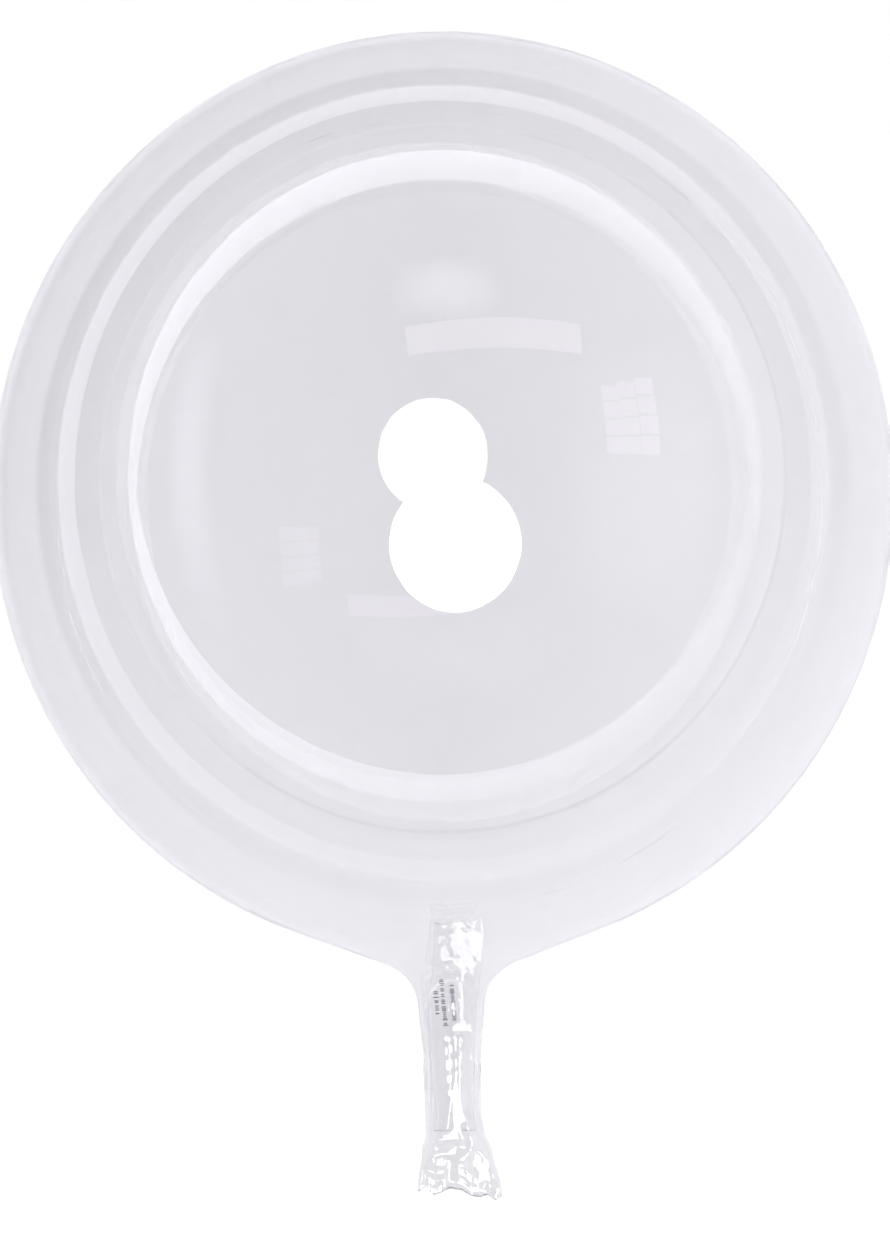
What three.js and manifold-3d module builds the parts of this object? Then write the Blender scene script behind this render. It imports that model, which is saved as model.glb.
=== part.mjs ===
// A clear bubble balloon, inflated, lying on its side. Millimetres, +Z up.
// Its axis is level along Y: the crown is toward +Y, the neck and the open tail toward -Y.
// The origin is the centre of the small flat on which the round body rests.
// The envelope is sealed, so it is one solid; only the tail's collapsed mouth is open.

import * as THREE from "three";
import Module from "manifold-3d";

// Body: an ellipsoid of revolution, a little longer than it is wide.
const BODY_RADIUS = 230;
const BODY_HALF_LENGTH = 236;
const REST_FLAT_RADIUS = 25;

// Shoulder: a shallow cone that leaves the body on its tangent, then a hollow fillet into the neck.
const CONE_START = 222; // from the body's centre, along the axis
const NECK_TOP_RADIUS = 16.5;
const FILLET_RADIUS = 25;

// Neck and tail: a film tube that narrows to a waist, then flattens to a wide mouth.
// Its girth stays the same, so it gets thinner where it gets wider.
const GIRTH = 86;
const WAIST_HALF_WIDTH = 14.3;
const WAIST_START = 286;
const WAIST_END = 304;
const FLARE_START = 312;
const MOUTH_ALONG = 354.5;
const MOUTH_HALF_WIDTH = 20.7;
const MOUTH_HALF_DEPTH = 2.2;

// The neck sags a little. The tail leans aside, and its lower ply rises to meet the upper one,
// which stays level. The mouth is puckered and unevenly cut.
const NECK_SAG = 2;
const TAIL_LEAN = 3;
const TAIL_RISE = 8.4;
const RISE_START = 318;
const PUCKER_START = 316;
const PUCKER_HEIGHT = 1.5;
const PUCKER_WIDTH = 13;
const PUCKER_SLANT = 0.12; // radians per mm along the tail
const EDGE_START = 332;
const EDGE_SLANT = 2.6; // one corner of the mouth reaches further than the other
const EDGE_LOBE = 1.5;
const EDGE_LOBES = 7;

// The collapsed mouth: a narrow slit between the two plies.
const LIP_WALL = 0.9;
const SLIT_DEPTH = 24;
const SLIT_END_HALF_WIDTH = 11;
const SLIT_END_HALF_DEPTH = 0.5;

// Facets.
const SEGMENTS = 64;
const BODY_RINGS = 30;
const CONE_RINGS = 3;
const FILLET_RINGS = 7;
const NECK_RINGS = 5;
const WAIST_RINGS = 2;
const FLARE_RINGS = 12;
const SLIT_RINGS = 4;

const CUTTER_SIZE = 600;

const axisHeight = Math.sqrt(BODY_RADIUS ** 2 - REST_FLAT_RADIUS ** 2);

/** 0 before the start, 1 after the end, and a smooth turn between them. */
function ease(value, start, end) {
  return THREE.MathUtils.smoothstep(value, start, end);
}

/** The body's radius at a distance along the axis from its centre. */
function bodyRadius(along) {
  return BODY_RADIUS * Math.sqrt(1 - (along / BODY_HALF_LENGTH) ** 2);
}

/** How fast the body's radius falls there. */
function bodySlope(along) {
  const squash = (BODY_RADIUS / BODY_HALF_LENGTH) ** 2;
  return squash * along / bodyRadius(along);
}

/** A section across the axis: how far along it lies, its half width and its half depth. */
function section(along, halfWidth, halfDepth = halfWidth) {
  return { along, halfWidth, halfDepth };
}

/** The half depth of the film tube when it is flattened to this half width. */
function flattenedDepth(halfWidth) {
  return Math.max(MOUTH_HALF_DEPTH, (GIRTH - 4 * halfWidth) / (2 * Math.PI - 4));
}

/** Body sections from just after the crown to where the cone begins, at even steps of angle. */
function bodySections() {
  const crown = -Math.PI / 2;
  const last = Math.asin(CONE_START / BODY_HALF_LENGTH);
  return Array.from({ length: BODY_RINGS }, (_, i) => {
    const angle = THREE.MathUtils.lerp(crown, last, (i + 1) / BODY_RINGS);
    return section(BODY_HALF_LENGTH * Math.sin(angle), BODY_RADIUS * Math.cos(angle));
  });
}

/** The cone on the body's tangent, and the fillet that turns it into the neck. */
function shoulderSections() {
  const slope = bodySlope(CONE_START);
  const turn = Math.atan(slope);
  const corner = CONE_START + (bodyRadius(CONE_START) - NECK_TOP_RADIUS) / slope;
  const reach = FILLET_RADIUS * Math.tan(turn / 2);
  const filletStart = corner - reach * Math.cos(turn);
  const filletEnd = corner + reach;
  const sections = [];
  for (let i = 1; i <= CONE_RINGS; i++) {
    const along = THREE.MathUtils.lerp(CONE_START, filletStart, i / CONE_RINGS);
    sections.push(section(along, bodyRadius(CONE_START) - slope * (along - CONE_START)));
  }
  for (let i = 1; i <= FILLET_RINGS; i++) {
    const angle = turn * (1 - i / FILLET_RINGS);
    const along = filletEnd - FILLET_RADIUS * Math.sin(angle);
    sections.push(section(along, NECK_TOP_RADIUS + FILLET_RADIUS * (1 - Math.cos(angle))));
  }
  return sections;
}

/** The neck from the fillet down to the end of its waist. */
function neckSections(neckStart) {
  const sections = [];
  for (let i = 1; i <= NECK_RINGS; i++) {
    const along = THREE.MathUtils.lerp(neckStart, WAIST_START, i / NECK_RINGS);
    const share = ease(along, neckStart, WAIST_START);
    sections.push(
      section(
        along,
        THREE.MathUtils.lerp(NECK_TOP_RADIUS, WAIST_HALF_WIDTH, share),
        THREE.MathUtils.lerp(NECK_TOP_RADIUS, flattenedDepth(WAIST_HALF_WIDTH), share),
      ),
    );
  }
  for (let i = 1; i <= WAIST_RINGS; i++) {
    const along = THREE.MathUtils.lerp(WAIST_START, WAIST_END, i / WAIST_RINGS);
    sections.push(section(along, WAIST_HALF_WIDTH, flattenedDepth(WAIST_HALF_WIDTH)));
  }
  return sections;
}

/** The tail: wider and thinner toward the mouth. */
function tailSections() {
  return Array.from({ length: FLARE_RINGS }, (_, i) => {
    const along = THREE.MathUtils.lerp(WAIST_END, MOUTH_ALONG, (i + 1) / FLARE_RINGS);
    const wide = ease(along, FLARE_START, MOUTH_ALONG);
    const halfWidth = THREE.MathUtils.lerp(WAIST_HALF_WIDTH, MOUTH_HALF_WIDTH, wide);
    return section(along, halfWidth, flattenedDepth(halfWidth));
  });
}

/** The slit between the plies, from the lip back up into the tail. */
function slitSections() {
  return Array.from({ length: SLIT_RINGS + 1 }, (_, i) => {
    const share = i / SLIT_RINGS;
    return section(
      MOUTH_ALONG - SLIT_DEPTH * share,
      THREE.MathUtils.lerp(MOUTH_HALF_WIDTH - LIP_WALL, SLIT_END_HALF_WIDTH, share),
      THREE.MathUtils.lerp(MOUTH_HALF_DEPTH - LIP_WALL, SLIT_END_HALF_DEPTH, share),
    );
  });
}

/** How far the middle of the neck and tail lies above the body's axis. */
function tailHeight(along) {
  return TAIL_RISE * ease(along, RISE_START, MOUTH_ALONG) - NECK_SAG * ease(along, CONE_START, WAIST_START);
}

/** The tail's own pose: it sags and rises, leans, puckers into pleats and ends in an uneven edge. */
function poseTail(aside, along, up) {
  const pleat = Math.sin((2 * Math.PI * aside) / PUCKER_WIDTH + PUCKER_SLANT * along);
  const lobe = Math.cos((Math.PI * EDGE_LOBES * aside) / (2 * MOUTH_HALF_WIDTH));
  const edge = EDGE_SLANT * (aside / MOUTH_HALF_WIDTH) + EDGE_LOBE * lobe;
  return new THREE.Vector3(
    aside + TAIL_LEAN * ease(along, WAIST_END, MOUTH_ALONG),
    -along - edge * ease(along, EDGE_START, MOUTH_ALONG),
    axisHeight + up + tailHeight(along) + PUCKER_HEIGHT * pleat * ease(along, PUCKER_START, MOUTH_ALONG),
  );
}

/** One ring of points round a section, which is straight above and below and round at the sides. */
function ring({ along, halfWidth, halfDepth }) {
  return Array.from({ length: SEGMENTS }, (_, i) => {
    const angle = (2 * Math.PI * i) / SEGMENTS;
    const aside = halfWidth * Math.cos(angle);
    const pastFlat = Math.max(0, Math.abs(aside) - (halfWidth - halfDepth));
    const up = Math.sqrt(Math.max(0, halfDepth ** 2 - pastFlat ** 2));
    return poseTail(aside, along, i < SEGMENTS / 2 ? up : -up);
  });
}

/** A closed surface through a row of rings, shut by a fan at each end. */
function loft(sections, firstPoint, lastPoint) {
  const positions = [...firstPoint.toArray()];
  for (const one of sections) {
    for (const point of ring(one)) positions.push(...point.toArray());
  }
  positions.push(...lastPoint.toArray());
  const at = (r, i) => 1 + r * SEGMENTS + (i % SEGMENTS);
  const lastRing = sections.length - 1;
  const end = positions.length / 3 - 1;
  const faces = [];
  for (let i = 0; i < SEGMENTS; i++) {
    faces.push(0, at(0, i + 1), at(0, i));
    faces.push(end, at(lastRing, i), at(lastRing, i + 1));
    for (let r = 0; r < lastRing; r++) {
      faces.push(at(r, i), at(r, i + 1), at(r + 1, i));
      faces.push(at(r, i + 1), at(r + 1, i + 1), at(r + 1, i));
    }
  }
  return meshGeometry(positions, faces);
}

function meshGeometry(positions, faces) {
  const geometry = new THREE.BufferGeometry();
  geometry.setAttribute("position", new THREE.Float32BufferAttribute(positions, 3));
  geometry.setIndex(faces);
  return geometry;
}

const wasm = await Module();
wasm.setup();

/** The solid with everything below the table top cut away. */
function cutBelowTable(geometry) {
  const box = new THREE.BoxGeometry(CUTTER_SIZE, CUTTER_SIZE, CUTTER_SIZE);
  box.translate(0, 0, -CUTTER_SIZE / 2);
  const cut = asManifold(geometry).subtract(asManifold(box)).getMesh();
  return meshGeometry(Array.from(cut.vertProperties), Array.from(cut.triVerts));
}

/** A closed geometry as a manifold solid, by its corner points alone. */
function asManifold(geometry) {
  const numbers = new Map();
  const corners = [];
  const point = geometry.getAttribute("position");
  const merged = Array.from({ length: point.count }, (_, i) => {
    const place = [point.getX(i), point.getY(i), point.getZ(i)];
    const key = place.join();
    if (!numbers.has(key)) {
      numbers.set(key, numbers.size);
      corners.push(...place);
    }
    return numbers.get(key);
  });
  return new wasm.Manifold(
    new wasm.Mesh({
      numProp: 3,
      vertProperties: new Float32Array(corners),
      triVerts: new Uint32Array(Array.from(geometry.index.array, (i) => merged[i])),
    }),
  );
}

function balloonFilm() {
  const shoulder = shoulderSections();
  const neckStart = shoulder[shoulder.length - 1].along;
  const outside = [...bodySections(), ...shoulder, ...neckSections(neckStart), ...tailSections()];
  const slit = slitSections();
  const crown = poseTail(0, -BODY_HALF_LENGTH, 0);
  const slitEnd = poseTail(0, slit[slit.length - 1].along, 0);
  const film = new THREE.Mesh(
    cutBelowTable(loft([...outside, ...slit], crown, slitEnd)),
    new THREE.MeshStandardMaterial({
      color: 0xe6e5eb,
      roughness: 0.06,
      metalness: 0,
      transparent: true,
      opacity: 0.35,
    }),
  );
  film.name = "balloon_film";
  return film;
}

const balloon = new THREE.Group();
balloon.add(balloonFilm());

export default balloon;
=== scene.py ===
import math

import bpy
import numpy as np
from mathutils import Matrix, Vector


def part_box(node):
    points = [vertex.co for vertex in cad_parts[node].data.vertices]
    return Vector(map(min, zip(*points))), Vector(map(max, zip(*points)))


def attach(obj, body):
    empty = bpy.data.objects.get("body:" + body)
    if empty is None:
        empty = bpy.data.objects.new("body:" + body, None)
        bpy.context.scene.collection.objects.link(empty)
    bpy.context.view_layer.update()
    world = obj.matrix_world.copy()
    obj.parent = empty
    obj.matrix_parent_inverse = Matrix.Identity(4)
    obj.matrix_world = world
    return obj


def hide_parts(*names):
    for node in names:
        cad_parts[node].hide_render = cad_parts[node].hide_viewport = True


# The looks of a clear bubble balloon that lies on its side. Metres, +Z up.
# Its axis is level along Y: the crown is toward +Y, the neck and the open tail toward -Y.
# "along" is the distance from the body's middle toward the tail, and "aside" is X.

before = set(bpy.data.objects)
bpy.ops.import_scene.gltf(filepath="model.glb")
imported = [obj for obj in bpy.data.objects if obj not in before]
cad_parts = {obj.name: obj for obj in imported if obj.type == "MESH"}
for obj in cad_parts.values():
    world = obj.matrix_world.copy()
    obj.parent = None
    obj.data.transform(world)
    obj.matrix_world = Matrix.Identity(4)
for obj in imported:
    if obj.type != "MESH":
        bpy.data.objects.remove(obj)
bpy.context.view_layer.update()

NODE = "balloon_film"
BODY = "root"
SEED = 20

low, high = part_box(NODE)
BODY_RADIUS = (high.x - low.x) / 2
HALF_LENGTH = high.y
AXIS_HEIGHT = high.z - BODY_RADIUS
CENTRE = Vector((0, 0, AXIS_HEIGHT))

# The film bag's profile.
FILM = 0.00007
CONE_START = 0.222
NECK_TOP_RADIUS = 0.0165
FILLET_RADIUS = 0.025
WAIST_HALF_WIDTH = 0.0143
WAIST_HALF_DEPTH = 0.0126
WAIST_START = 0.286
WAIST_END = 0.304
FLARE_START = 0.312
MOUTH_ALONG = 0.3545
MOUTH_HALF_WIDTH = 0.0207
MOUTH_HALF_DEPTH = 0.0016
GIRTH = 0.0860
REST_SOFTNESS = 0.0003

# How the neck and tail lie.
NECK_SAG = 0.002
TAIL_LEAN = 0.003
TAIL_RISE = 0.0084
RISE_START = 0.318
EDGE_START = 0.332
EDGE_SLANT = 0.0029
EDGE_JAG = 0.0022
CRUMPLE_START = 0.319
CRUMPLE_FULL = 0.328

# Lengthwise gathers in the neck: they grow from the first place to the second
# and fade from the third to the fourth.
GATHERS = (0.246, 0.268, 0.296, 0.318)

# Layers of the tail's crumple, as height, width and seed. The large and the small ones move both plies
# together, and the parting ones move them apart. The pleats are fine waves at the mouth.
LARGE_FACETS = (0.0014, 0.0080, 1543)
SMALL_FACETS = (0.0005, 0.0040, 1965)
PARTING_FACETS = (0.0004, 0.005, 921)
PLEAT_HEIGHT = 0.0001
PLEAT_WIDTH = 0.0026
PLEAT_SEED = 399
PLEAT_START = 0.330
PLEAT_FULL = 0.342

# A ridge runs along the top of the neck and a keel along its underside. Both grow from
# RIDGE_START to RIDGE_FULL and fade where the crumple starts.
# From FACET_START the ridge opens into a flat, three-cornered facet.
RIDGE_START = 0.236
RIDGE_FULL = 0.252
RIDGE_SLOPE = 0.20
KEEL_SLOPE = 0.32
RIDGE_REACH = 0.004
RIDGE_ASIDE = 0.0017
KEEL_ASIDE = -0.0012
FACET_START = 0.295
FACET_END = 0.323
FACET_HALF_WIDTH = 0.0055

# A short fold runs aside from the facet, from here to here (aside, along).
FOLD = ((0.0062, 0.3130), (0.0180, 0.3305))
FOLD_WIDTH = 0.0009
FOLD_DEPTH = 0.0012

# Rings and points round each ring.
SEGMENTS = 192
BODY_RINGS = 64
CONE_RINGS = 10
FILLET_RINGS = 14
NECK_RINGS = 50
TAIL_RINGS = 90

# The valve: a flat film sleeve inside the neck.
SLEEVE_START = 0.217
SLEEVE_END = 0.323
SLEEVE_FILM = 0.00008
SLEEVE_HALF_DEPTH = 0.0004
SLEEVE_SEGMENTS = 96
SLEEVE_RINGS = 170
SLEEVE_WELDS = (0.2499, 0.2743)
SLEEVE_HEIGHT = 0.0072
SLEEVE_WIDTHS = ((0.217, 0.262, 0.300, 0.323), (0.0128, 0.0122, 0.0112, 0.0104))

# Rows of print strokes on the sleeve: where each row starts and ends, as how far aside and along.
PRINT_ROWS = (
    ((-0.0077, 0.2530), (-0.0069, 0.2646)),
    ((-0.0048, 0.2470), (-0.0028, 0.2707)),
    ((0.0004, 0.2500), (0.0018, 0.2677)),
)
STROKE_LENGTHS = (0.0014, 0.0026)
STROKE_STEPS = (0.0008, 0.0009, 0.0010, 0.0018)
STROKE_WIDTH = 0.00048
STROKE_THICKNESS = 0.00002
STROKE_CLEARANCE = 0.00004


def ease(value, start, end):
    """0 before the start, 1 after the end, and a smooth turn between them."""
    share = np.clip((value - start) / (end - start), 0, 1)
    return share * share * (3 - 2 * share)


def mix(a, b, share):
    """a at share 0 and b at share 1."""
    return a + (b - a) * share


def waves(u, v, length, count, seed):
    """A smooth random surface, about -1 to 1, of waves near the given length."""
    rng = np.random.default_rng(seed)
    total = np.zeros(np.broadcast(u, v).shape)
    for _ in range(count):
        turn, start = rng.uniform(0, 2 * math.pi, 2)
        number = 2 * math.pi / (length * rng.uniform(0.75, 1.5))
        total += np.sin(number * (u * math.cos(turn) + v * math.sin(turn)) + start)
    return total / math.sqrt(count)


def facets(u, v, cell, seed):
    """A random surface of flat triangles, from -1 to 1, about a cell wide, as crumpled film has."""
    rng = np.random.default_rng(seed)
    table = rng.uniform(-1, 1, (64, 64))
    u = u / cell + 0.38 * waves(u, v, 3 * cell, 4, seed + 1)
    v = v / cell + 0.38 * waves(u, v, 3.0, 4, seed + 2)
    i, j = np.floor(u).astype(int), np.floor(v).astype(int)
    fu, fv = u - i, v - j
    flip = (i + j) % 2 == 1
    fu = np.where(flip, 1 - fu, fu)
    left, right = np.where(flip, i + 1, i) % 64, np.where(flip, i, i + 1) % 64
    near, far = j % 64, (j + 1) % 64
    lower = table[left, near] + fu * (table[right, near] - table[left, near]) + fv * (
        table[left, far] - table[left, near]
    )
    upper = table[right, far] + (1 - fu) * (table[left, far] - table[right, far]) + (1 - fv) * (
        table[right, near] - table[right, far]
    )
    return np.where(fu + fv < 1, lower, upper)


def crumple_layer(aside, along, layer):
    """One layer of crumple, from its height, the width of its facets and its seed."""
    height, cell, seed = layer
    return height * facets(aside, along, cell, seed)


def film_sections():
    """Rings from just after the crown to the mouth: how far along, the half width and the half depth."""
    angle = np.linspace(-math.pi / 2, math.asin(CONE_START / HALF_LENGTH), BODY_RINGS + 1)[1:]
    body_along = HALF_LENGTH * np.sin(angle)
    body_radius = BODY_RADIUS * np.cos(angle)

    slope = (BODY_RADIUS / HALF_LENGTH) ** 2 * CONE_START / body_radius[-1]
    turn = math.atan(slope)
    corner = CONE_START + (body_radius[-1] - NECK_TOP_RADIUS) / slope
    reach = FILLET_RADIUS * math.tan(turn / 2)
    cone_along = np.linspace(CONE_START, corner - reach * math.cos(turn), CONE_RINGS + 1)[1:]
    cone_radius = body_radius[-1] - slope * (cone_along - CONE_START)

    angle = turn * (1 - np.arange(1, FILLET_RINGS + 1) / FILLET_RINGS)
    fillet_along = corner + reach - FILLET_RADIUS * np.sin(angle)
    fillet_radius = NECK_TOP_RADIUS + FILLET_RADIUS * (1 - np.cos(angle))

    neck_start = corner + reach
    neck_along = np.linspace(neck_start, FLARE_START, NECK_RINGS + 1)[1:]
    tail_along = np.linspace(FLARE_START, MOUTH_ALONG, TAIL_RINGS + 1)[1:]
    tube_along = np.concatenate([neck_along, tail_along])
    narrow = ease(tube_along, neck_start, WAIST_START)
    wide = ease(tube_along, FLARE_START, MOUTH_ALONG)
    tube_width = mix(mix(NECK_TOP_RADIUS, WAIST_HALF_WIDTH, narrow), MOUTH_HALF_WIDTH, wide)
    flat_depth = np.maximum(MOUTH_HALF_DEPTH, (GIRTH - 4 * tube_width) / (2 * math.pi - 4))
    tube_depth = mix(tube_width, np.minimum(flat_depth, tube_width), narrow)

    round_radius = np.concatenate([body_radius, cone_radius, fillet_radius])
    along = np.concatenate([body_along, cone_along, fillet_along, tube_along])
    half_width = np.concatenate([round_radius, tube_width])
    half_depth = np.concatenate([round_radius, tube_depth])
    return along[:, None], half_width[:, None], half_depth[:, None]


def stadium(half_width, half_depth, segments):
    """Points round a flattened tube's section: straight above and below, round at the sides."""
    angle = 2 * math.pi * np.arange(segments)[None, :] / segments
    aside = half_width * np.cos(angle)
    past_flat = np.maximum(0, np.abs(aside) - (half_width - half_depth))
    up = np.sign(np.sin(angle)) * np.sqrt(np.maximum(0, half_depth**2 - past_flat**2))
    return aside, np.where(np.abs(np.sin(angle)) < 1e-9, 0, up), angle


def jagged_edge(aside, seed):
    """How far the cut mouth reaches past its mean, in straight pieces between random corners."""
    rng = np.random.default_rng(seed)
    corners = np.linspace(-MOUTH_HALF_WIDTH, MOUTH_HALF_WIDTH, 12)
    corners[1:-1] += rng.uniform(-0.3, 0.3, 10) * (corners[1] - corners[0])
    return np.interp(aside, corners, rng.uniform(-1, 1, 12) * EDGE_JAG)


def lay_tail(aside, along, up):
    """World positions of points on the neck, which sags, and on the tail, which leans aside and rises."""
    x = aside + TAIL_LEAN * ease(along, WAIST_END, MOUTH_ALONG)
    rise = TAIL_RISE * ease(along, RISE_START, MOUTH_ALONG)
    z = up + rise - NECK_SAG * ease(along, CONE_START, WAIST_START)
    return np.stack([x, -along, AXIS_HEIGHT + z], axis=-1)


def facet_reach(aside, along):
    """How far out from the ridge, the facet's half width there, and how far past the facet's edge."""
    out = np.abs(aside - RIDGE_ASIDE)
    flat = FACET_HALF_WIDTH * np.clip((along - FACET_START) / (FACET_END - FACET_START), 0, 1)
    return out, flat, np.maximum(0, out - flat)


def ridge_shape(aside, along, half_depth):
    """How much the ridge and its facet change the height of the neck's top."""
    out, flat, past = facet_reach(aside, along)
    level = np.minimum(out, flat) ** 2 / (2 * half_depth)
    thinner = np.maximum(0, WAIST_HALF_DEPTH - half_depth)
    level = level + 0.7 * thinner * np.exp(-past / RIDGE_REACH) * (flat > 0)
    fall = RIDGE_SLOPE * RIDGE_REACH * (1 - np.exp(-past / RIDGE_REACH))
    return ease(along, RIDGE_START, RIDGE_FULL) * (level - fall)


def keel_shape(aside, along):
    """How much lower the keel is than the round underside."""
    out = np.abs(aside - KEEL_ASIDE)
    return ease(along, RIDGE_START, RIDGE_FULL) * KEEL_SLOPE * RIDGE_REACH * np.exp(-out / RIDGE_REACH)


def fold_shape(aside, along):
    """The depth of the short fold."""
    (x0, y0), (x1, y1) = FOLD
    length = math.hypot(x1 - x0, y1 - y0)
    ahead = ((aside - x0) * (x1 - x0) + (along - y0) * (y1 - y0)) / length
    apart = ((aside - x0) * (y1 - y0) - (along - y0) * (x1 - x0)) / length
    past = ahead - np.clip(ahead, 0, length)
    return FOLD_DEPTH * np.exp(-(apart**2 + past**2) / FOLD_WIDTH**2)


def film_points():
    """Points of the film's outer skin, ring by ring, from the crown to the cut mouth."""
    along, half_width, half_depth = film_sections()
    aside, up, angle = stadium(half_width, half_depth, SEGMENTS)
    along = np.broadcast_to(along, aside.shape).copy()
    side = np.where(np.sin(angle) >= 0, 1.0, -1.0)

    gathers = ease(along, *GATHERS[:2]) * (1 - ease(along, *GATHERS[2:]))
    past = facet_reach(aside, along)[2]
    gathers = gathers * (1 - 0.9 * (side > 0) * np.exp(-past / 0.002) * ease(along, 0.290, 0.297))
    ripple = 0.00013 * np.sin(11 * angle + 1.0) + 0.0001 * np.sin(17 * angle + 4 + 60 * along)
    uneven = 0.00022 * waves(angle * WAIST_HALF_WIDTH, along, 0.009, 6, SEED)
    swell = 1 + gathers * (ripple + uneven) / half_width
    aside, up = aside * swell, up * swell

    crumple = ease(along, CRUMPLE_START, CRUMPLE_FULL)
    top = ridge_shape(aside, along, half_depth) * (1 - crumple) - fold_shape(aside, along)
    up = up + np.where(side > 0, top, -keel_shape(aside, along) * (1 - crumple))
    lay = crumple_layer(aside, along, LARGE_FACETS) + crumple_layer(aside, along, SMALL_FACETS)
    part = crumple_layer(aside, along, PARTING_FACETS) * (1 - (aside / half_width) ** 2)
    pleats = waves(aside, 0.15 * along, PLEAT_WIDTH, 8, PLEAT_SEED)
    pleats = PLEAT_HEIGHT * ease(along, PLEAT_START, PLEAT_FULL) * pleats
    up = up + crumple * (lay + side * part) + pleats
    aside = aside + crumple * 0.0006 * waves(along, 0 * along, 0.011, 4, SEED + 12) * np.cos(angle)

    edge = EDGE_SLANT * aside / MOUTH_HALF_WIDTH + jagged_edge(aside, SEED + 15)
    edge = edge + np.where(side < 0, 0.0008 * jagged_edge(aside, SEED + 16) / EDGE_JAG, 0)
    points = lay_tail(aside, along + edge * ease(along, EDGE_START, MOUTH_ALONG), up)
    points[..., 2] = (points[..., 2] + np.sqrt(points[..., 2] ** 2 + REST_SOFTNESS**2)) / 2
    return points


def grid_faces(rings, segments):
    """Quads of a tube of rings, facing out."""
    r, i = np.meshgrid(np.arange(rings - 1), np.arange(segments), indexing="ij")
    j = (i + 1) % segments
    corners = [r * segments + i, r * segments + j, (r + 1) * segments + j, (r + 1) * segments + i]
    return np.stack(corners, axis=-1).reshape(-1, 4)


def tube_shell(name, points, thickness, pole=None):
    """A closed mesh: a tube of film with an outer and an inner skin, joined by a rim at each open end.
    A pole closes the first end with a fan in each skin."""
    rings, segments, _ = points.shape
    outer = points.reshape(-1, 3)
    if pole is not None:
        outer = np.concatenate([outer, [pole]])
    quads = grid_faces(rings, segments)
    fan = []
    if pole is not None:
        fan = [(len(outer) - 1, (i + 1) % segments, i) for i in range(segments)]
    skin = bpy.data.meshes.new(name + "_skin")
    skin.from_pydata(outer.tolist(), [], quads.tolist() + fan)
    normals = np.zeros(len(outer) * 3, np.float32)
    skin.vertex_normals.foreach_get("vector", normals)
    bpy.data.meshes.remove(skin)
    inner = outer - thickness * normals.reshape(-1, 3)

    count = len(outer)
    faces = quads.tolist() + fan
    faces += [tuple(count + k for k in reversed(face)) for face in quads.tolist() + fan]
    last = (rings - 1) * segments
    for i in range(segments):
        j = (i + 1) % segments
        faces.append((last + i, last + j, count + last + j, count + last + i))
        if pole is None:
            faces.append((j, i, count + i, count + j))
    mesh = bpy.data.meshes.new(name)
    mesh.from_pydata(np.concatenate([outer, inner]).tolist(), [], faces)
    skins = 2 * (len(quads) + len(fan))
    mesh.polygons.foreach_set("use_smooth", [k < skins for k in range(len(faces))])
    return link(name, mesh)


def link(name, mesh):
    """Put a mesh in the scene as an object."""
    piece = bpy.data.objects.new(name, mesh)
    bpy.context.scene.collection.objects.link(piece)
    return piece


def sleeve_up(aside, along):
    """Height above the axis of the sleeve's middle sheet, which is arched across and crumpled."""
    ridge = 0.0044 + 0.0031 * (1 - ease(along, 0.236, 0.250)) - 0.0010 * ease(along, 0.262, 0.290)
    bow = mix(0.080, 0.018, ease(along, 0.234, 0.250))
    arch = SLEEVE_HEIGHT + 0.10 * np.maximum(0, 0.262 - along) - (aside - ridge) ** 2 / (2 * bow)
    folds = mix(0.00005, 0.00010, ease(along, 0.236, 0.250))
    folds = folds * np.sin(2 * math.pi * aside / 0.0058 + 30 * along)
    peak = ease(along, 0.275, 0.281) * RIDGE_SLOPE * RIDGE_REACH
    arch = arch - peak * (1 - np.exp(-np.abs(aside - ridge) / RIDGE_REACH))
    crush = mix(0.00045, 0.0003, ease(along, 0.282, 0.290)) * facets(aside, along, 0.0058, SEED + 20)
    crush = crush + 0.00015 * facets(aside, along, 0.0026, SEED + 23)
    return arch + folds + crush


def sleeve_centre(along):
    """The sleeve leans aside toward its inner end."""
    return 0.0048 * (1 - ease(along, 0.222, 0.272))


def sleeve_points():
    """Points of the sleeve's outer skin, ring by ring, from its inner end to its outer end."""
    along = np.linspace(SLEEVE_START, SLEEVE_END, SLEEVE_RINGS)[:, None]
    half_width = np.interp(along, *SLEEVE_WIDTHS)
    half_width = half_width + 0.0003 * waves(along, 0 * along, 0.012, 4, SEED + 26)
    aside, up, _ = stadium(half_width, np.full_like(half_width, SLEEVE_HALF_DEPTH), SLEEVE_SEGMENTS)
    aside = aside + sleeve_centre(along)
    along = np.broadcast_to(along, aside.shape)
    weld = sum(np.exp(-(((along - place) / 0.0006) ** 2)) for place in SLEEVE_WELDS)
    edge = 0.0012 * waves(aside, 0 * aside, 0.012, 4, SEED + 27) * (1 - ease(along, SLEEVE_START, 0.224))
    up = up * (1 - 0.75 * weld) + sleeve_up(aside, along) - 0.0003 * weld
    return lay_tail(aside, along - edge, up)


def build_strokes():
    """Rows of plain short strokes that stand for the fine print, each a thin flat block on the sleeve."""
    rng = np.random.default_rng(SEED + 30)
    corners, faces = [], []
    for (aside, start), (last_aside, end) in PRINT_ROWS:
        place = start
        while place < end:
            middle = np.interp(place, (start, end), (aside, last_aside))
            add_stroke(corners, faces, middle, rng.uniform(*STROKE_LENGTHS), place)
            place += rng.choice(STROKE_STEPS)
    mesh = bpy.data.meshes.new("print_strokes")
    mesh.from_pydata(corners, [], faces)
    return link("print_strokes", mesh)


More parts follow.
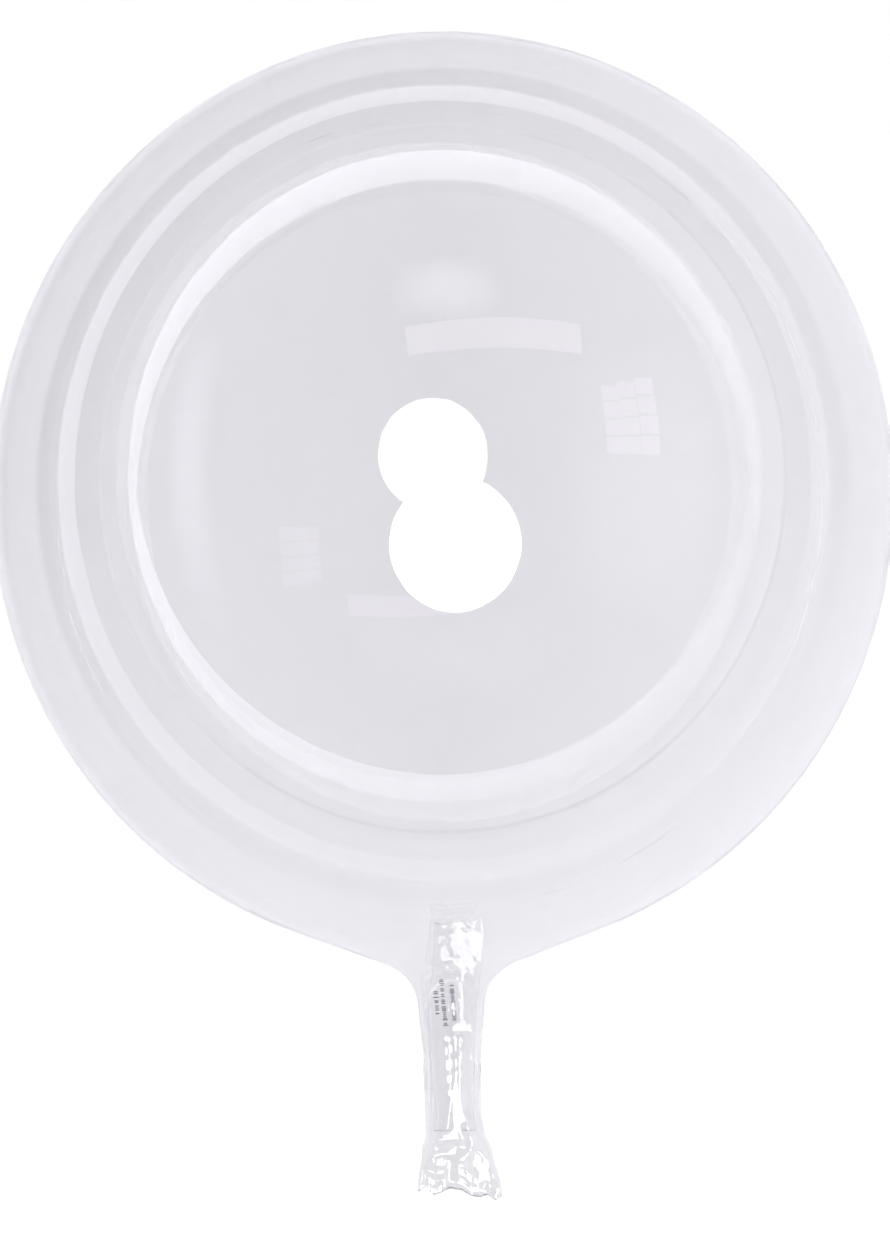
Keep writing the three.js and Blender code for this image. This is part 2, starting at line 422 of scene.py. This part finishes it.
def add_stroke(corners, faces, middle, length, along):
    """One stroke across a row, in short steps that follow the sleeve's surface."""
    first = len(corners)
    steps = 4
    for k in range(steps + 1):
        x = middle + length * (k / steps - 0.5)
        for ahead, lift in ((-0.5, 0), (-0.5, 1), (0.5, 1), (0.5, 0)):
            place = along + ahead * STROKE_WIDTH
            up = sleeve_up(np.float64(x), np.float64(place)) + SLEEVE_HALF_DEPTH
            up += STROKE_CLEARANCE + lift * STROKE_THICKNESS
            corners.append(tuple(lay_tail(np.float64(x), np.float64(place), up)))
    for k in range(steps):
        a, b = first + 4 * k, first + 4 * (k + 1)
        for i in range(4):
            j = (i + 1) % 4
            faces.append((a + i, b + i, b + j, a + j))
    faces.append((first, first + 1, first + 2, first + 3))
    last = first + 4 * steps
    faces.append((last + 3, last + 2, last + 1, last))


# Places of a mix node's colour sockets, which share their names with its other sockets.
MIX_COLOUR_A = 6
MIX_COLOUR_B = 7
MIX_COLOUR_OUT = 2


class Nodes:
    """A short way to make and join the nodes of a material or the world."""

    def __init__(self, tree):
        """Start on an empty tree."""
        self.tree = tree
        tree.nodes.clear()

    def add(self, kind, inputs=None, **settings):
        """A new node. An input is a value, or another node's output to join it to."""
        node = self.tree.nodes.new(kind)
        for key, value in settings.items():
            setattr(node, key, value)
        for key, value in (inputs or {}).items():
            if isinstance(value, bpy.types.NodeSocket):
                self.tree.links.new(value, node.inputs[key])
            else:
                node.inputs[key].default_value = value
        return node

    def math(self, operation, a, b=0.0, c=0.0):
        """The output of a new math node."""
        return self.add("ShaderNodeMath", {0: a, 1: b, 2: c}, operation=operation).outputs[0]


def film_material(name, tint, ior, roughness, bump_height, shadow):
    """Clear glossy film with faint flow marks.
    Shadow rays and diffuse rays pass straight through it."""
    material = bpy.data.materials.new(name)
    material.use_nodes = True
    nodes = Nodes(material.node_tree)
    place = nodes.add("ShaderNodeTexCoord").outputs["Object"]
    flow = nodes.add("ShaderNodeMapping", {"Vector": place, "Scale": (1.0, 0.35, 1.0)}).outputs[0]
    marks = nodes.add("ShaderNodeTexNoise", {"Vector": flow, "Scale": 28.0, "Detail": 3.0})
    smears = nodes.add("ShaderNodeTexNoise", {"Vector": place, "Scale": 9.0, "Detail": 5.0})
    gloss = nodes.add(
        "ShaderNodeMapRange",
        {
            "Value": smears.outputs["Fac"],
            "From Min": 0.45,
            "From Max": 0.75,
            "To Min": roughness[0],
            "To Max": roughness[1],
        },
    )
    bump = nodes.add(
        "ShaderNodeBump", {"Strength": 1.0, "Distance": bump_height, "Height": marks.outputs["Fac"]}
    )
    film = nodes.add(
        "ShaderNodeBsdfPrincipled",
        {
            "Base Color": tint,
            "Roughness": gloss.outputs[0],
            "IOR": ior,
            "Transmission Weight": 1.0,
            "Normal": bump.outputs[0],
        },
    )
    through = nodes.add("ShaderNodeBsdfTransparent", {"Color": shadow}).outputs[0]
    path = nodes.add("ShaderNodeLightPath")
    first = nodes.add(
        "ShaderNodeMixShader", {0: path.outputs["Is Shadow Ray"], 1: film.outputs[0], 2: through}
    )
    second = nodes.add(
        "ShaderNodeMixShader", {0: path.outputs["Is Diffuse Ray"], 1: first.outputs[0], 2: through}
    )
    nodes.add("ShaderNodeOutputMaterial", {"Surface": second.outputs[0]})
    return material


def matte_material(name, dark, light, roughness, scale, bump_height):
    """A matt surface with slight changes of tone and a fine grain."""
    material = bpy.data.materials.new(name)
    material.use_nodes = True
    nodes = Nodes(material.node_tree)
    place = nodes.add("ShaderNodeTexCoord").outputs["Object"]
    grain = nodes.add("ShaderNodeTexNoise", {"Vector": place, "Scale": scale, "Detail": 4.0})
    tone = nodes.add(
        "ShaderNodeMix",
        {"Factor": grain.outputs["Fac"], MIX_COLOUR_A: dark, MIX_COLOUR_B: light},
        data_type="RGBA",
    )
    bump = nodes.add(
        "ShaderNodeBump", {"Strength": 0.5, "Distance": bump_height, "Height": grain.outputs["Fac"]}
    )
    surface = nodes.add(
        "ShaderNodeBsdfPrincipled",
        {"Base Color": tone.outputs[MIX_COLOUR_OUT], "Roughness": roughness, "Normal": bump.outputs[0]},
    )
    nodes.add("ShaderNodeOutputMaterial", {"Surface": surface.outputs[0]})
    return material


# The studio: the camera, the round key lamp, the pool of light on the floor, the floor and the light cards.
VIEW_TILT = math.radians(6.6)
VIEW_ROLL = math.radians(0.9)
VIEW_DISTANCE = 2.3
AIM_BELOW = 0.0634
LENS = 130.5
KEY_PLACE = Vector((0.11, -0.69, 2.5))
KEY_RADIUS = 0.645
KEY_RADIANCE = 7.5
POOL_PLACE = Vector((0, -0.05, 4.0))
POOL_RADIUS = 0.86
POOL_POWER = 335.0
FLOOR_RADIUS = 6.0
FLOOR_SIDES = 96
CARD_RADIUS = 3.0
CARD_SEGMENTS = 180

# Where on the film the horizon card is mirrored: how far out from the middle, and how high.
MIRROR_OUT = 0.16
MIRROR_HEIGHT = 0.39

# How many skins of film a card may be seen through: 2 shows it in the near wall only, 8 in both walls.
NEAR_WALL = 2
BOTH_WALLS = 8


def build_camera():
    """The camera looks down on the balloon, from a little toward its tail."""
    toward = Vector((0, -math.sin(VIEW_TILT), math.cos(VIEW_TILT)))
    upward = Vector((0, math.cos(VIEW_TILT), math.sin(VIEW_TILT)))
    place = CENTRE + VIEW_DISTANCE * toward
    forward = (CENTRE - AIM_BELOW * upward - place).normalized()
    up = math.cos(VIEW_ROLL) * upward + math.sin(VIEW_ROLL) * Vector((1, 0, 0))
    right = forward.cross(up).normalized()
    up = right.cross(forward)
    data = bpy.data.cameras.new("camera")
    data.lens = LENS
    camera = bpy.data.objects.new("camera", data)
    camera.matrix_world = Matrix.Translation(place) @ Matrix((right, up, -forward)).transposed().to_4x4()
    bpy.context.scene.collection.objects.link(camera)
    bpy.context.scene.camera = camera


def build_lights():
    """A round lamp, which the film mirrors as white discs, and a pool of light for the floor,
    which the film doesn't mirror."""
    key = bpy.data.lights.new("key", "AREA")
    key.shape = "DISK"
    key.size = 2 * KEY_RADIUS
    key.energy = KEY_RADIANCE * math.pi * KEY_RADIUS**2 * 4
    add_light("key", key, KEY_PLACE, CENTRE)

    pool = bpy.data.lights.new("pool", "SPOT")
    pool.energy = POOL_POWER
    pool.spot_size = 2 * math.atan(1.2 * POOL_RADIUS / POOL_PLACE.z)
    pool.spot_blend = 0.2
    pool.shadow_soft_size = 0.15
    lamp = add_light("pool", pool, POOL_PLACE, Vector((POOL_PLACE.x, POOL_PLACE.y, 0)))
    lamp.visible_glossy = False
    lamp.visible_transmission = False


def add_light(name, data, place, target):
    """A lamp that faces its target. The camera doesn't see it."""
    lamp = bpy.data.objects.new(name, data)
    turn = (target - place).to_track_quat("-Z", "Y")
    lamp.matrix_world = Matrix.Translation(place) @ turn.to_matrix().to_4x4()
    lamp.visible_camera = False
    bpy.context.scene.collection.objects.link(lamp)
    return lamp


def build_world():
    """A dim, soft dome that is lighter toward +X and low down past the tail."""
    world = bpy.data.worlds.new("studio")
    world.use_nodes = True
    bpy.context.scene.world = world
    nodes = Nodes(world.node_tree)
    place = nodes.add("ShaderNodeTexCoord").outputs["Generated"]
    x, y, z = nodes.add("ShaderNodeSeparateXYZ", {0: place}).outputs
    right = nodes.math("MAXIMUM", x, 0.0)
    back = nodes.math("MAXIMUM", nodes.math("MULTIPLY", y, -1.0), 0.0)
    low = nodes.math("POWER", nodes.math("SUBTRACT", 1.0, z), 2.0)
    light = nodes.math("MULTIPLY_ADD", right, 0.8, 0.25)
    light = nodes.math("MULTIPLY_ADD", nodes.math("MULTIPLY", back, low), 0.6, light)
    sky = nodes.add("ShaderNodeBackground", {"Color": (0.95, 0.94, 1.0, 1.0), "Strength": light})
    nodes.add("ShaderNodeOutputWorld", {"Surface": sky.outputs[0]})


def card_material(name, tint, deepest, cover):
    """A light card shows only in what the film mirrors, after so many skins at most.
    Its glow is in the mesh. Cover 1 hides what is behind the card and cover 0 adds to it."""
    material = bpy.data.materials.new(name)
    material.use_nodes = True
    nodes = Nodes(material.node_tree)
    path = nodes.add("ShaderNodeLightPath")
    mirrored = nodes.math("GREATER_THAN", path.outputs["Glossy Depth"], 0.5)
    near = nodes.math("LESS_THAN", path.outputs["Transmission Depth"], deepest + 0.5)
    shown = nodes.math("MULTIPLY", mirrored, near)
    glow = nodes.add("ShaderNodeAttribute", attribute_name="glow").outputs["Fac"]
    strength = nodes.math("MULTIPLY", glow, shown)
    light = nodes.add("ShaderNodeEmission", {"Color": tint, "Strength": strength})
    behind = nodes.math("MULTIPLY_ADD", shown, -cover, 1.0)
    clear = nodes.add("ShaderNodeBsdfTransparent", {"Color": behind})
    card = nodes.add("ShaderNodeAddShader", {0: clear.outputs[0], 1: light.outputs[0]})
    nodes.add("ShaderNodeOutputMaterial", {"Surface": card.outputs[0]})
    return material


def build_card(name, points, faces, glow, material):
    """A card that glows as its corners say."""
    mesh = bpy.data.meshes.new(name)
    mesh.from_pydata(points.reshape(-1, 3).tolist(), [], faces)
    mesh.attributes.new("glow", "FLOAT", "POINT").data.foreach_set("value", glow.astype(np.float32).ravel())
    mesh.materials.append(material)
    card = link(name, mesh)
    card.visible_camera = False
    card.visible_diffuse = False
    card.visible_shadow = False


def build_panel(name, middle, width, height, glow, material, soft=False):
    """An oblong card that faces the balloon. A soft one fades out toward its edges."""
    ahead = (CENTRE - middle).normalized()
    across = Vector((0, 1, 0)).cross(ahead).normalized() if abs(ahead.x) < 0.5 else Vector((0, 1, 0))
    upward = ahead.cross(across).normalized()
    steps = 13 if soft else 2
    y, x = np.meshgrid(np.linspace(-0.5, 0.5, steps), np.linspace(-0.5, 0.5, steps), indexing="ij")
    sideways = width * x[..., None] * np.array(across)
    points = np.array(middle) + sideways + height * y[..., None] * np.array(upward)
    fade = np.cos(math.pi * x) * np.cos(math.pi * y) if soft else np.ones_like(x)
    row, column = np.meshgrid(np.arange(steps - 1), np.arange(steps - 1), indexing="ij")
    first = row * steps + column
    faces = np.stack([first, first + 1, first + steps + 1, first + steps], axis=-1).reshape(-1, 4)
    build_card(name, points, faces.tolist(), glow * fade, material)


def build_cards():
    """The strip, the window and the soft glows, then the bright horizon and the rings on the floor."""
    lamp = card_material("lamp_card", (1.0, 0.93, 0.98, 1.0), BOTH_WALLS, 0.0)
    build_panel("strip_card", Vector((0.135, 0.32, 0.865)), 0.46, 0.08, 0.9, lamp)
    for row in range(3):
        for column in range(4):
            up, along = row - 1, column - 1.5
            middle = Vector((0.785 - 0.03 * up, 0.217 + 0.078 * along, 1.075 + 0.09 * up))
            build_panel(f"window_card_{row}_{column}", middle, 0.070, 0.084, 0.7, lamp)

    wall = card_material("wall_card", (0.97, 0.95, 1.0, 1.0), NEAR_WALL, 0.0)
    build_panel("ceiling_glow", Vector((0.03, 0.95, 1.36)), 0.60, 0.40, 1.2, wall, soft=True)
    build_panel("right_glow", Vector((1.7, -0.1, 1.6)), 2.4, 1.9, 0.55, wall, soft=True)
    build_panel("left_glow", Vector((-1.35, 0.1, 0.98)), 1.7, 0.34, 0.8, wall, soft=True)
    build_panel("tail_glow", Vector((0.05, -1.1, 1.5)), 1.4, 0.7, 0.35, wall, soft=True)

    rings = card_material("ring_card", (0.96, 0.95, 1.0, 1.0), NEAR_WALL, 1.0)
    azimuth = np.linspace(0, 2 * math.pi, CARD_SEGMENTS + 1)[None, :-1]
    east, north = np.cos(azimuth), np.sin(azimuth)

    # The horizon card rises to a height that changes round the balloon.
    share = np.linspace(0, 1, 6)[:, None]
    top = 0.148 + 0.115 * np.abs(north) + 0.012 * north
    rise = mix(0.100, top, share)
    height = MIRROR_HEIGHT + (CARD_RADIUS - MIRROR_OUT) * rise / np.sqrt(1 - rise**2)
    points = np.stack(np.broadcast_arrays(CARD_RADIUS * east, CARD_RADIUS * north, height), axis=-1)
    glow = 1.6 - 0.25 * east + 0.6 * north * (0.5 - share)
    build_card("horizon_card", points, grid_faces(6, CARD_SEGMENTS).tolist(), glow, rings)

    # The floor card's rings: how far out each is, its glow, and its share of the uneven light.
    radius = np.array([0.16, 0.34, 0.40, 0.70, 0.76, 1.02, 1.06, 1.09, 1.55, 1.60, 1.62, 4.5])[:, None]
    bright = np.array([0.98, 0.98, 0.76, 0.72, 0.34, 0.30, 0.5, 1.05, 1.0, 0.9, 0.25, 0.25])[:, None]
    share = np.array([0.1, 0.1, 0.5, 0.5, 1, 1, 1, 0, 0, 0, 1, 1])[:, None]
    side = 0.45 * np.maximum(0, east) - 0.15 * np.maximum(0, -east) + 0.5 * np.maximum(0, -north)
    points = np.stack(np.broadcast_arrays(radius * east, radius * north + 0.05, 0.001), axis=-1)
    build_card("floor_card", points, grid_faces(12, CARD_SEGMENTS).tolist(), bright + share * side, rings)


def build_floor():
    """A round sheet of pale paper, just under the balloon's rest spot."""
    mesh = bpy.data.meshes.new("floor")
    angles = [2 * math.pi * i / FLOOR_SIDES for i in range(FLOOR_SIDES)]
    rim = [(FLOOR_RADIUS * math.cos(angle), FLOOR_RADIUS * math.sin(angle), 0) for angle in angles]
    mesh.from_pydata(rim, [], [range(FLOOR_SIDES)])
    floor = link("floor", mesh)
    floor.location.z = -0.0002
    paper = matte_material("floor_paper", (0.71, 0.71, 0.71, 1), (0.74, 0.74, 0.74, 1), 0.7, 60.0, 0.0003)
    floor.data.materials.append(paper)


def finish_piece(piece, material):
    """Give a piece its material and let it ride on the balloon's body."""
    piece.data.materials.append(material)
    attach(piece, BODY)


build_camera()
build_lights()
build_world()
build_floor()
build_cards()

film = tube_shell("film_envelope", film_points(), FILM, pole=(0, HALF_LENGTH, AXIS_HEIGHT))
clear_film = film_material(
    "clear_film", (0.894, 0.891, 0.902, 1), 1.5, (0.0, 0.012), 0.00006, (0.982, 0.981, 0.985, 1)
)
finish_piece(film, clear_film)
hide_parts(NODE)

sleeve = tube_shell("valve_sleeve", sleeve_points(), SLEEVE_FILM)
valve_film = film_material(
    "valve_film", (0.995, 0.995, 0.995, 1), 1.25, (0.02, 0.08), 0.00003, (0.98, 0.98, 0.985, 1)
)
finish_piece(sleeve, valve_film)

strokes = build_strokes()
print_ink = matte_material(
    "print_ink", (0.02, 0.02, 0.03, 1), (0.06, 0.06, 0.08, 1), 0.55, 900.0, 0.00001
)
finish_piece(strokes, print_ink)

scene = bpy.context.scene
scene.view_settings.view_transform = "Standard"
scene.cycles.max_bounces = 24
scene.cycles.transmission_bounces = 24
scene.cycles.glossy_bounces = 8
scene.cycles.transparent_max_bounces = 32
